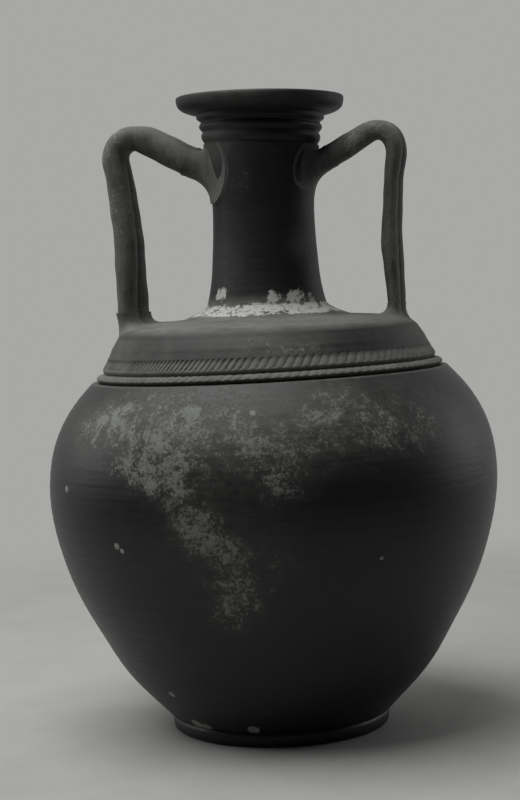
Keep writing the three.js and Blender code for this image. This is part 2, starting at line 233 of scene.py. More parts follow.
def lathe(profile: np.ndarray, columns: int) -> np.ndarray:
    """Turns a profile round the axis: x is r times the cosine of the angle, y is r times its sine.

    Args:
        profile: Radius and height in mm, one row each.
        columns: Steps round the axis.
    Returns:
        Points, profile rows by columns by 3.
    """
    angle = np.linspace(0.0, 2 * math.pi, columns, endpoint=False)
    ring = np.stack([np.cos(angle), np.sin(angle), np.zeros(columns)], axis=1)
    up = np.array([0.0, 0.0, 1.0])
    return profile[:, 0][:, None, None] * ring[None] + profile[:, 1][:, None, None] * up


# Weathering, and painted shade on the shoulder wall


@dataclass(frozen=True)
class Patch:
    """A patch of deposit on the body: its middle in degrees and mm, its half sizes, lean and strength."""

    azimuth: float
    height: float
    half_width: float
    half_height: float
    strength: float
    lean: float = 0.0  # degrees of azimuth per mm of height

    def weight(self, azimuth: np.ndarray, height: np.ndarray) -> np.ndarray:
        """The patch's strength times a flat-topped hump of the scaled distance from its middle."""
        across = (azimuth - self.azimuth - self.lean * (height - self.height) + 180.0) % 360.0 - 180.0
        distance = (across / self.half_width) ** 2 + ((height - self.height) / self.half_height) ** 2
        return self.strength * np.exp(-distance ** 1.4)


def layered(patches: tuple[Patch, ...], azimuth: np.ndarray, height: np.ndarray) -> np.ndarray:
    """Lays patches over each other: one less the product of one less each weight.

    Args:
        patches: The patches.
        azimuth: Degrees from the camera's side.
        height: Heights in mm.
    Returns:
        The joint weight, from 0 to 1.
    """
    bare = np.ones(np.broadcast(azimuth, height).shape)
    for patch in patches:
        bare = bare * (1.0 - np.clip(patch.weight(azimuth, height), 0.0, 1.0))
    return 1.0 - bare


@dataclass(frozen=True)
class Weather:
    """Where crust, dust and lime lie on the thrown body, with painted shade in the dust of the shoulder
    wall.
    """

    crust: tuple[Patch, ...] = (
        Patch(-40, 236, 26, 24, 0.85, 0.25),
        Patch(-14, 238, 20, 24, 0.72),
        Patch(10, 232, 20, 26, 0.66),
        Patch(32, 226, 15, 22, 0.72, -0.2),
        Patch(50, 236, 10, 16, 0.4),
        Patch(-27, 204, 20, 20, 0.72),
        Patch(-20, 168, 11, 30, 0.82, -0.1),
        Patch(-13, 118, 9, 24, 0.7, -0.15),
        Patch(2, 196, 14, 18, 0.42),
        Patch(-3, 150, 9, 22, 0.3),
        Patch(-44, 60, 14, 14, 0.2),
        Patch(105, 228, 28, 26, 0.6),
        Patch(160, 236, 26, 20, 0.7),
        Patch(-150, 214, 20, 34, 0.6),
        Patch(-110, 236, 24, 20, 0.66),
        Patch(178, 150, 10, 34, 0.4),
        Patch(-4, 283, 13, 8, 0.62),
        Patch(12, 279, 9, 5, 0.5),
        Patch(-55, 279, 12, 6, 0.4),
        Patch(-30, 350, 18, 30, 0.22),
        Patch(-24, 400, 16, 14, 0.42),
        Patch(52, 352, 12, 9, 0.36),
        Patch(10, 418, 26, 5, 0.3),
        Patch(-20, 457, 26, 5, 0.5),
        Patch(22, 456, 20, 4, 0.4),
        Patch(-60, 432, 34, 6, 0.4),
    )
    dust: tuple[Patch, ...] = (
        Patch(8, 232, 34, 34, 0.34),
        Patch(-40, 240, 34, 22, 0.24),
        Patch(-16, 170, 20, 44, 0.16),
        Patch(150, 230, 70, 30, 0.26),
        Patch(-120, 236, 40, 24, 0.22),
        Patch(-70, 425, 50, 16, 0.5),
        Patch(-16, 457, 34, 7, 0.45),
        Patch(44, 352, 18, 12, 0.3),
        Patch(-50, 335, 30, 24, 0.16),
    )
    lime: tuple[Patch, ...] = (
        Patch(-52, 317, 13, 10, 0.95),
        Patch(-30, 313, 10, 6, 0.7),
        Patch(-6, 309, 20, 4, 0.62),
        Patch(6, 315, 9, 8, 0.92),
        Patch(30, 314, 17, 9, 0.96),
        Patch(50, 312, 9, 8, 0.8),
        Patch(100, 313, 30, 8, 0.7),
        Patch(170, 312, 40, 6, 0.6),
        Patch(-110, 313, 30, 8, 0.75),
    )

    def marks(self, points: np.ndarray) -> dict[str, np.ndarray]:
        """Works out every deposit at the points of a grid, and the painted shade that thins the dust on the
        shoulder wall.

        Args:
            points: Points in mm before the hand's unevenness, rows by columns by 3.
        Returns:
            Weights from 0 to 1, by attribute name.
        """
        azimuth = camera_azimuth(points)
        height = points[..., 2]
        radius = np.hypot(points[..., 0], points[..., 1])
        drift = 5.0 * ripple(np.radians(azimuth), height * 2.0, 21)
        crust = layered(self.crust, azimuth + drift, height + 0.6 * drift)
        dust = layered(self.dust, azimuth + drift, height)
        dome = step_up(height, 289.0, 296.0) * (1.0 - step_up(height, 309.0, 318.0))
        wall = step_up(height, 257.0, 262.0) * (1.0 - step_up(height, 287.0, 292.0))
        patchy = 0.42 + 0.16 * ripple(np.radians(azimuth * 2.0), height * 4.0, 33)
        # Painted shade: the shoulder wall gets less dust, so it renders darker, on its right side round 39
        # degrees and in a narrow strip round -49 degrees.
        painted_wall_shade = 1.0 - 0.75 * bell(azimuth, 39.0, 19.0, 4.0) - 0.5 * bell(azimuth, -49.0, 9.0, 4.0)
        bands = step_up(height, 257.0, 260.0) * (1.0 - step_up(height, 272.0, 277.0))
        dust = np.maximum(dust, 1.05 * dome)
        # The wall's dust is thinned where the shade is painted.
        dust = np.maximum(dust, wall * patchy * painted_wall_shade)
        dust = np.maximum(dust, 0.95 * bands)
        lime = layered(self.lime, azimuth, height)
        skirt = step_up(height, 299.0, 303.0) * (1.0 - step_up(height, 308.0, 316.0))
        lime = np.maximum(lime, 0.9 * skirt)
        seen = step_up(radius, 30.0, 38.0)
        # The dust weight also carries the painted shade of the shoulder wall.
        return {"crust": crust * seen, "dust": dust * seen, "lime": lime * seen}


WEATHER = Weather()


# Finishes


class Term:
    """A number socket that takes part in Python arithmetic, each sign adding a Math node."""

    def __init__(self, dresser: "Dresser", socket: bpy.types.NodeSocket) -> None:
        """Keeps the socket and the dresser that adds nodes."""
        self.dresser = dresser
        self.socket = socket

    def _with(self, operation: str, *others: "Term | float") -> "Term":
        """Adds one Math node of this operation on this term and the others."""
        return self.dresser.math(operation, self, *others)

    def __add__(self, other: "Term | float") -> "Term":
        """This plus the other."""
        return self._with("ADD", other)

    def __radd__(self, other: float) -> "Term":
        """The other plus this."""
        return self._with("ADD", other)

    def __sub__(self, other: "Term | float") -> "Term":
        """This less the other."""
        return self._with("SUBTRACT", other)

    def __rsub__(self, other: float) -> "Term":
        """The other less this."""
        return self.dresser.math("SUBTRACT", other, self)

    def __mul__(self, other: "Term | float") -> "Term":
        """This times the other."""
        return self._with("MULTIPLY", other)

    def __rmul__(self, other: float) -> "Term":
        """The other times this."""
        return self._with("MULTIPLY", other)

    def above(self, low: float, high: float) -> "Term":
        """A soft step of this term, from 0 at low to 1 at high."""
        settings = {"interpolation_type": "SMOOTHSTEP", "clamp": True}
        node = self.dresser.node("ShaderNodeMapRange", settings, {0: self, 1: low, 2: high})
        return Term(self.dresser, node.outputs[0])

    def clipped(self) -> "Term":
        """This term held between 0 and 1."""
        return self._with("MINIMUM", 1.0)._with("MAXIMUM", 0.0)

    def most(self, other: "Term | float") -> "Term":
        """The larger of this and the other."""
        return self._with("MAXIMUM", other)


class Dresser:
    """Adds the nodes of one material or world."""

    def __init__(self, tree: bpy.types.NodeTree) -> None:
        """Empties the tree."""
        self.tree = tree
        tree.nodes.clear()

    def node(self, kind: str, settings: dict, values: dict) -> bpy.types.Node:
        """Adds a node.

        Args:
            kind: The node's type.
            settings: Its own settings, set first.
            values: Values or links of its input sockets, by name or number.
        Returns:
            The node.
        """
        made = self.tree.nodes.new(kind)
        for key, value in settings.items():
            setattr(made, key, value)
        for key, value in values.items():
            source = value.socket if isinstance(value, Term) else value
            if isinstance(source, bpy.types.NodeSocket):
                self.tree.links.new(source, made.inputs[key])
            elif isinstance(source, tuple) and made.inputs[key].type == "RGBA":
                made.inputs[key].default_value = (*source, 1.0)
            else:
                made.inputs[key].default_value = source
        return made

    def math(self, operation: str, *terms: "Term | float") -> Term:
        """Adds one Math node on the terms."""
        made = self.node("ShaderNodeMath", {"operation": operation}, dict(enumerate(terms)))
        return Term(self, made.outputs[0])

    def mark(self, name: str) -> Term:
        """Reads one of the mesh's own attributes."""
        made = self.node("ShaderNodeAttribute", {"attribute_name": name}, {})
        return Term(self, made.outputs["Fac"])

    def place(self, stretch: Colour = (1000.0, 1000.0, 1000.0)) -> bpy.types.NodeSocket:
        """The place on the piece in mm, stretched by a factor along each axis."""
        here = self.node("ShaderNodeTexCoord", {}, {}).outputs["Object"]
        made = self.node("ShaderNodeVectorMath", {"operation": "MULTIPLY"}, {0: here, 1: stretch})
        return made.outputs[0]

    def noise(self, place: bpy.types.NodeSocket, size: float, detail: float, rough: float) -> Term:
        """Cloudy noise whose largest lumps are about this many mm across."""
        values = {"Vector": place, "Scale": 1.0 / size, "Detail": detail, "Roughness": rough}
        return Term(self, self.node("ShaderNodeTexNoise", {}, values).outputs[0])

    def pits(self, place: bpy.types.NodeSocket, size: float) -> Term:
        """Distance to the nearest of scattered points, in spacings of about this many mm."""
        values = {"Vector": place, "Scale": 1.0 / size}
        return Term(self, self.node("ShaderNodeTexVoronoi", {}, values).outputs["Distance"])

    def spot(self, place: bpy.types.NodeSocket, middle: Colour, radius: float) -> Term:
        """A round mark with a soft edge.

        Args:
            place: The place on the piece, in mm.
            middle: The mark's middle, in mm.
            radius: Its radius, in mm.
        Returns:
            1 inside the mark and 0 outside.
        """
        values = {0: place, 1: middle}
        away = self.node("ShaderNodeVectorMath", {"operation": "DISTANCE"}, values).outputs["Value"]
        return 1.0 - Term(self, away).above(0.75 * radius, 1.15 * radius)

    def mixed(self, share: "Term | float", first: object, second: object) -> bpy.types.NodeSocket:
        """Mixes two colours: the first where the share is 0, the second where it is 1."""
        made = self.node("ShaderNodeMix", {"data_type": "RGBA"}, {0: share, 6: first, 7: second})
        return made.outputs[2]


@dataclass(frozen=True)
class Finish:
    """One pottery finish: linear colours, how rough it is, and how deep its grain is in mm."""

    name: str
    slot: Slot
    sound: Colour = (0.0038, 0.0042, 0.0037)
    worn: Colour = (0.013, 0.0139, 0.0126)
    dust: Colour = (0.15, 0.156, 0.143)
    crust: Colour = (0.23, 0.239, 0.217)
    lime: Colour = (0.5, 0.51, 0.475)
    polish: float = 0.42
    matt: float = 0.86
    settled: float = 0.06  # dust on what faces up
    wear: float = 0.5
    grain: float = 0.35
    flecks: float = 0.55
    brushed: Colour = (90.0, 90.0, 1400.0)  # how the burnishing streaks are drawn out
    spots: tuple[tuple[Colour, float], ...] = field(default_factory=tuple)

    def material(self) -> bpy.types.Material:
        """Builds the material.

        The burnished ground goes from sound to worn by cloudy noise and level burnishing streaks. Dust lies
        over it as a smooth veil, crust as flecks where fine noise passes a threshold that falls with the
        crust's weight, and lime as thick lumps in the same way.

        Returns:
            The material.
        """
        made = bpy.data.materials.new(self.name)
        made.use_nodes = True
        d = Dresser(made.node_tree)
        here = d.place()
        level = d.place(self.brushed)
        clouds = d.noise(here, 42.0, 4.0, 0.55)
        lumps = d.noise(here, 9.0, 5.0, 0.62)
        fine = d.noise(here, 2.6, 6.0, 0.7)
        grit = d.noise(here, 0.9, 3.0, 0.6)
        streaks = d.noise(level, 2.4, 3.0, 0.6)
        up = Term(d, d.node("ShaderNodeSeparateXYZ", {}, {
            0: d.node("ShaderNodeNewGeometry", {}, {}).outputs["Normal"]}).outputs["Z"])
        # The dust mark also carries painted shade: it is thinner on parts of the shoulder wall.
        dust = d.mark("dust")
        crust = d.mark("crust")
        lime = d.mark("lime")
        wear = ((clouds - 0.42) * 1.6 + (streaks - 0.5) * 1.3 + (lumps - 0.5) * 0.8) * self.wear
        wear = (wear + self.wear * 0.25).clipped()
        veil = dust * (0.72 + 0.9 * (lumps - 0.5) + 0.8 * (streaks - 0.5) + 0.6 * (clouds - 0.5))
        veil = (veil + up.above(0.2, 1.0) * self.settled * (0.4 + 1.2 * lumps)).clipped()
        grains = fine * 0.5 + lumps * 0.32 + clouds * 0.18 + (grit - 0.5) * 0.22
        thin = crust * 0.2 + (clouds - 0.5) * crust * 0.35
        flaky = (grains + thin).above(0.63, 0.72) * (crust * 1.8 + 0.02).clipped()
        smear = (crust * (lumps * 0.8 + fine * 0.5 + clouds * 0.6 - 0.62)).above(0.0, 0.6) * 0.34
        crumbs = (1.0 - d.pits(here, 5.5).above(0.06, 0.15)) * lumps.above(0.44, 0.56) * self.flecks
        crumbs = crumbs * (0.22 + crust * 0.8).clipped()
        clots = (lumps * 0.5 + fine * 0.42 + grit * 0.1 + lime * 0.42).above(0.8, 0.87)
        clots = clots * lime.above(0.06, 0.3)
        ground = d.mixed(wear, self.sound, self.worn)
        veiled = d.mixed(veil, ground, self.dust)
        smeared = d.mixed((smear + crumbs * 0.6).clipped(), veiled, self.crust)
        flaked = d.mixed((flaky * (0.1 + 1.1 * grit)).clipped(), smeared, self.crust)
        colour = d.mixed(clots * (0.72 + 0.28 * fine), flaked, self.lime)
        for middle, radius in self.spots:
            colour = d.mixed(d.spot(here, middle, radius) * fine.above(0.3, 0.5), colour, self.crust)
        cover = (veil * 0.9 + flaky * 0.7 + smear + clots).clipped()
        rough = cover * (self.matt - self.polish) + self.polish + (streaks - 0.5) * 0.16
        rough = (rough + (fine - 0.5) * 0.1).clipped()
        height = fine * 0.35 + streaks * 0.3 + lumps * 0.35 + flaky * 0.6 + clots * 1.8 + grit * 0.12
        bump = d.node("ShaderNodeBump", {}, {"Height": height, "Distance": self.grain * MM, "Strength": 1.0})
        shader = d.node("ShaderNodeBsdfPrincipled", {}, {
            "Base Color": colour, "Roughness": rough, "Normal": bump.outputs[0], "IOR": 1.4})
        d.node("ShaderNodeOutputMaterial", {}, {"Surface": shader.outputs[0]})
        return made


def on_body(azimuth: float, radius: float, height: float) -> Colour:
    """The point on the body at an azimuth from the camera side, in mm."""
    turn = math.radians(azimuth) + TURN
    return (radius * math.sin(turn), -radius * math.cos(turn), height)


BURNISHED = Finish(
    "burnished_ground", Slot.BURNISHED,
    spots=(
        (on_body(-62.0, 162.0, 187.0), 2.6),
        (on_body(-42.0, 160.0, 152.0), 2.4),
        (on_body(-40.5, 159.0, 149.0), 2.0),
        (on_body(-5.0, 145.0, 240.0), 2.2),
        (on_body(26.0, 157.0, 141.0), 1.5),
        (on_body(-45.0, 108.5, 40.0), 2.8),
        (on_body(-46.0, 84.0, 13.0), 6.0),
        (on_body(-40.0, 84.0, 12.0), 4.0),
        (on_body(-14.0, 84.0, 14.5), 4.4),
    ),
)
DUSTY = Finish("dusty_shoulder", Slot.DUSTY, settled=0.12, wear=0.9, grain=0.4, polish=0.55)
NECK = Finish("burnished_neck", Slot.BURNISHED, sound=(0.0075, 0.008, 0.0073), wear=0.9, polish=0.58,
              brushed=(160.0, 160.0, 700.0))
HANDLE = Finish(
    "worked_handle", Slot.HANDLE, sound=(0.02, 0.021, 0.0195), worn=(0.085, 0.089, 0.082),
    settled=0.35, wear=1.2, grain=0.6, polish=0.6, flecks=0.9, brushed=(700.0, 700.0, 110.0),
)


def dressed(piece: bpy.types.Object, finish: Finish, made: dict[str, bpy.types.Material]) -> None:
    """Gives a piece its finish, making the material once."""
    if finish.name not in made:
        made[finish.name] = finish.material()
    piece.data.materials.append(made[finish.name])


def settle(piece: bpy.types.Object, node: str) -> None:
    """Lets a piece stand for its node and ride on the jar."""
    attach(piece, "root")
    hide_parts(node)
    LOG.info("%s: %d faces", piece.name, len(piece.data.polygons))


# Outlines of the thrown body: radius and height in mm, from the foot up

BELLY_LINE = (
    (81.0, 11.0), (89.6, 20.0), (99.4, 30.0), (108.5, 40.0), (116.0, 50.0), (122.0, 60.0), (127.4, 70.0),
    (133.0, 80.0), (138.6, 90.0), (143.6, 100.0), (148.0, 110.0), (151.8, 120.0), (155.0, 130.0),
    (157.8, 140.0), (160.2, 150.0), (162.1, 160.0), (163.3, 170.0), (163.9, 180.0), (163.4, 190.0),
    (162.4, 200.0), (160.4, 210.0), (157.2, 220.0), (152.6, 230.0), (146.4, 240.0), (138.4, 250.0),
    (130.0, 258.5),
)
SHOULDER_LINE = (
    (117.4, 275.5), (116.0, 278.5), (114.5, 282.0), (111.8, 286.0), (109.2, 290.2), (104.4, 294.0),
    (99.5, 296.0), (81.0, 298.5), (61.0, 299.8), (53.3, 303.0), (46.4, 306.3), (43.9, 309.0),
)
NECK_LINE = (
    (43.9, 309.0), (42.0, 314.7), (41.0, 320.6), (40.0, 326.4), (39.3, 332.3), (38.5, 344.0), (37.6, 355.6),
    (37.2, 367.3), (36.9, 379.0), (37.5, 387.0), (39.2, 403.0), (41.2, 418.0), (42.0, 424.0),
)
COLLAR_LINE = (
    (41.2, 424.0), (41.4, 425.2), (43.0, 427.6), (43.7, 429.8), (43.1, 431.8), (42.1, 433.0), (43.6, 434.4),
    (45.0, 436.5), (44.6, 438.6), (43.2, 440.0), (44.2, 441.2), (46.6, 442.8), (46.9, 446.0),
)
RIM_LINE = (
    (46.9, 446.0), (52.0, 446.9), (57.0, 448.8), (60.0, 451.2), (61.0, 454.0), (61.4, 457.4), (60.9, 458.7),
    (59.6, 459.0), (54.0, 458.8), (48.0, 457.4), (42.0, 453.6), (37.0, 449.0), (35.0, 446.0),
)


@dataclass
class ThrownPiece:
    """A wheel-thrown ring or shell: an outline with a wall behind it."""

    node: str
    line: tuple[Pair, ...]
    finish: Finish
    blur: float = 4.0
    wall: float = 7.0
    columns: int = 300
    step: float = 1.7
    wheel: float = 0.12

    def outer(self) -> np.ndarray:
        """The rounded outline, with faint wheel marks: sums of sines of the height."""
        line = rounded(np.array(self.line), self.step, self.blur)
        marks = np.sin(line[:, 1] * 1.3) + 0.6 * np.sin(line[:, 1] * 0.71 + 1.0)
        fade = np.minimum(np.arange(len(line)), np.arange(len(line))[::-1]) / 6.0
        line[:, 0] += self.wheel * 0.5 * (marks - 1.0) * np.clip(fade, 0.0, 1.0)
        return line

    def profile(self) -> np.ndarray:
        """The whole section as a closed loop: up the outline and down its inside."""
        outer = self.outer()
        inner = inside_of(outer, self.wall)[::-3]
        return np.concatenate([outer, inner])

    def ends(self) -> Ends:
        """A ring closes on itself."""
        return Ends.JOINED

    def carved(self, grid: np.ndarray) -> np.ndarray:
        """Nothing is carved in a plain piece."""
        return grid

    def build(self, made: dict[str, bpy.types.Material]) -> bpy.types.Object:
        """Turns the section, adds the hand's unevenness and dresses the piece."""
        grid = lathe(self.profile(), self.columns)
        marks = WEATHER.marks(grid)
        piece = skin(self.node + "_skin", HAND.shape(self.carved(grid)), self.ends(), marks)
        dressed(piece, self.finish, made)
        settle(piece, self.node)
        return piece


@dataclass
class Belly(ThrownPiece):
    """The belly: a shell with a floor, open at the ledge."""

    floor_height: float = 20.0
    mouth_radius: float = 108.2

    def ends(self) -> Ends:
        """The floor closes at the axis, inside and out."""
        return Ends.CAPPED

    def profile(self) -> np.ndarray:
        """From the axis under the floor, up the outline, over the ledge and down the inside to the floor."""
        outer = self.outer()
        inner = inside_of(outer, self.wall)
        inner = inner[(inner[:, 1] > self.floor_height + 1.0) & (inner[:, 1] < 250.0)][::-4]
        under = np.array([(0.5, 11.0), (40.0, 11.0), (70.0, 11.0)])
        ledge = np.array([(124.0, 258.5), (116.0, 258.5), (self.mouth_radius, 258.5)])
        foot = np.array([(inner[-1, 0] - 3.0, self.floor_height), (45.0, self.floor_height),
                         (0.5, self.floor_height)])
        return np.concatenate([under, outer, ledge, inner, foot])


@dataclass
class FootRing(ThrownPiece):
    """The turned foot: a low ring with a rounded resting edge and a notch above."""

    bore: float = 60.0

    def profile(self) -> np.ndarray:
        """The loop of the ring's section, its outer side from the resting edge up to the notch."""
        side = ((76.5, 0.0), (79.2, 1.2), (80.0, 3.4), (80.0, 8.6), (78.6, 11.0))
        outer = rounded(np.array(side), 0.7, 0.8)
        bore = self.bore
        inner = np.array([(bore, 11.0), (bore, 5.0), (bore + 1.0, 0.6), (bore + 3.0, 0.0)])
        return np.concatenate([outer, inner])


@dataclass
class Shoulder(ThrownPiece):
    """The shoulder: a rebated wall, a round corner and a low dome up to the neck."""

    rebate_radius: float = 115.0
    foot_height: float = 258.5

    def profile(self) -> np.ndarray:
        """Up the rebate, out to the wall, over the dome, and back along the inside."""
        outer = self.outer()
        inner = inside_of(outer, self.wall)[::-3]
        rebate = np.array([(self.rebate_radius, self.foot_height), (self.rebate_radius, 267.0),
                           (self.rebate_radius, 275.4)])
        back = np.array([(self.rebate_radius - self.wall, 272.0), (self.rebate_radius - self.wall, 265.0),
                         (self.rebate_radius - self.wall, self.foot_height)])
        return np.concatenate([rebate, outer, inner, back])


@dataclass
class Rim(ThrownPiece):
    """The heavy round lip with its dished mouth."""

    def profile(self) -> np.ndarray:
        """The whole loop of the lip, closed along its seat."""
        outer = rounded(np.array(self.line), 1.0, self.blur)
        return np.concatenate([outer, [(41.0, 446.0)]])


@dataclass
class NickedBand(ThrownPiece):
    """A clay strip round the shoulder's foot, nicked with a blade."""

    bore: float = 115.2
    low: float = 268.0
    high: float = 275.5
    depth: float = 1.3
    slant: float = 0.0  # mm of shift round the band per mm of height
    pitch_places: tuple[float, ...] = (-180.0, -85.0, -60.0, -22.0, -4.0, 26.0, 50.0, 85.0, 180.0)
    pitches: tuple[float, ...] = (4.4, 4.0, 3.6, 3.8, 5.6, 7.0, 6.0, 5.0, 4.4)
    depths: tuple[float, ...] = (0.9, 0.8, 0.8, 0.9, 0.6, 0.55, 0.6, 0.8, 0.9)

    def profile(self) -> np.ndarray:
        """The strip's outer face and its bore."""
        outer = rounded(np.array(self.line), 0.45, self.blur)
        return np.concatenate([outer, [(self.bore, self.line[-1][1]), (self.bore, self.line[0][1])]])

    def carved(self, grid: np.ndarray) -> np.ndarray:
        """Cuts the nicks.

        The count of nicks up to an azimuth is the sum of radius over pitch, scaled to a whole number in all.
        Each cut is a hump of the distance to the nearest whole count, times a window of the height.
        """
        azimuth = camera_azimuth(grid)
        height = grid[..., 2]
        radius = np.hypot(grid[..., 0], grid[..., 1])
        dense = np.linspace(-180.0, 180.0, 1441)
        rate = 1.0 / np.interp(dense, self.pitch_places, self.pitches)
        rate *= 1.0 + 0.12 * ripple(np.radians(dense * 3.0), np.zeros(1), 51)
        count = np.concatenate([[0.0], np.cumsum(0.5 * (rate[1:] + rate[:-1]))])
        whole = round(count[-1] * math.radians(360.0 / 1440.0) * 119.0)
        shifted = azimuth - np.degrees(self.slant * (height - self.low) / 119.0)
        shifted = (shifted + 180.0) % 360.0 - 180.0
        phase = np.interp(shifted, dense, count / count[-1] * whole)
        miss = np.abs(phase - np.round(phase))
        share = np.interp(azimuth, self.pitch_places, self.depths)
        uneven = 0.85 + 0.3 * ripple(np.radians(azimuth * 9.0), height * 0.0, 77)
        window = step_up(height, self.low, self.low + 1.6)
        window = window * (1.0 - step_up(height, self.high - 1.2, self.high))
        cut = self.depth * share * uneven * window * np.exp(-(miss / 0.2) ** 2)
        cut = np.where(radius > self.bore + 1.5, cut, 0.0)
        carved = grid.copy()
        carved[..., :2] *= (1.0 - cut / radius)[..., None]
        return carved


# Handles


@dataclass
class Handle:
    """Two clay rolls pressed side by side, bent once, from the neck to the shoulder. Sizes in mm."""

    name: str
    side: float
    path: tuple[Pair, ...]
    keys: tuple[float, ...]  # arc lengths at which the next values hold
    front: tuple[float, ...]  # half thickness of the roll on the camera's side
    back: tuple[float, ...]
    half_width: tuple[float, ...]  # of each roll, across the handle
    spread: tuple[float, ...]  # between the rolls' middles
    twist: tuple[float, ...]  # how far the back roll stands out past the front one
    seed: int
    angles: int = 72
    step: float = 1.1

    def centre(self) -> tuple[np.ndarray, np.ndarray]:
        """The rounded path as distance from the axis and height, and its arc length."""
        line = rounded(np.array(self.path), self.step, 4.2)
        arc = np.concatenate([[0.0], np.cumsum(np.linalg.norm(np.diff(line, axis=0), axis=1))])
        return line, arc

    def section(self, arc: np.ndarray) -> tuple[np.ndarray, np.ndarray]:
        """Sections along the handle.

        Each is the union of two ellipses that both hold the middle. Along a ray from the middle, the outline
        is the farther of the ellipses' crossings, the larger root of a quadratic. A running thickness, from
        seeded waves, keeps the rolls uneven.

        Args:
            arc: Arc length at each section.
        Returns:
            Offsets across the handle and outwards, sections by angles.
        """
        theta = np.linspace(0.0, 2 * math.pi, self.angles, endpoint=False) + math.pi / 2
        theta = theta - 0.3 * np.sin(2 * theta + math.pi)
        across, out = np.cos(theta)[None], np.sin(theta)[None]
        dice = np.random.default_rng(self.seed)
        reach = np.zeros((len(arc), self.angles))
        for sign, halves in ((-1.0, self.front), (1.0, self.back)):
            waves = sum(np.sin(arc * rate + dice.uniform(0, 6)) for rate in (0.09, 0.17, 0.33)) / 3.0
            thick = (np.interp(arc, self.keys, halves) * (1.0 + 0.05 * waves))[:, None]
            wide = np.interp(arc, self.keys, self.half_width)[:, None]
            middle_across = 0.5 * sign * np.interp(arc, self.keys, self.spread)[:, None]
            middle_out = 0.5 * sign * np.interp(arc, self.keys, self.twist)[:, None]
            a = (across / wide) ** 2 + (out / thick) ** 2
            b = across * middle_across / wide ** 2 + out * middle_out / thick ** 2
            c = (middle_across / wide) ** 2 + (middle_out / thick) ** 2 - 1.0
            root = (b + np.sqrt(np.maximum(b * b - a * c, 0.0))) / a
            reach = np.maximum(reach, root)
        return reach * across, reach * out

    def places(self, arc: np.ndarray, scale: float = 1.0) -> np.ndarray:
        """Points of the handle's skin, its sections scaled about their middles.

        Args:
            arc: Arc lengths along the path, in mm.
            scale: The sections' scale.
        Returns:
            Points in mm, sections by angles by 3.
        """
        line, whole = self.centre()
        middle = np.stack([np.interp(arc, whole, column) for column in line.T], axis=1)
        slope = np.gradient(line, whole, axis=0)
        tangent = np.stack([np.interp(arc, whole, column) for column in slope.T], axis=1)
        tangent /= np.linalg.norm(tangent, axis=1, keepdims=True)
        across, out = self.section(arc)
        radial = middle[:, :1] - scale * out * tangent[:, 1:]
        height = middle[:, 1:] + scale * out * tangent[:, :1]
        return np.stack([self.side * radial, scale * across, height], axis=-1)

    def marks(self, points: np.ndarray, arc: np.ndarray) -> dict[str, np.ndarray]:
        """Deposits along the handle: dust and crust in seeded stretches."""
        wave = ripple(arc[:, None] * 0.03, points[..., 1] * 3.0, self.seed + 3)
        crust = 0.5 + 0.35 * wave
        return {"crust": crust, "dust": 0.5 + 0.25 * wave, "lime": np.zeros_like(crust)}

    def build(self, made: dict[str, bpy.types.Material]) -> bpy.types.Object:
        """Sweeps the sections along the path and dresses the handle."""
        arc = self.centre()[1]
        grid = self.places(arc)
        piece = skin(self.name + "_skin", grid, Ends.CAPPED, self.marks(grid, arc))
        dressed(piece, HANDLE, made)
        settle(piece, self.name)
        return piece


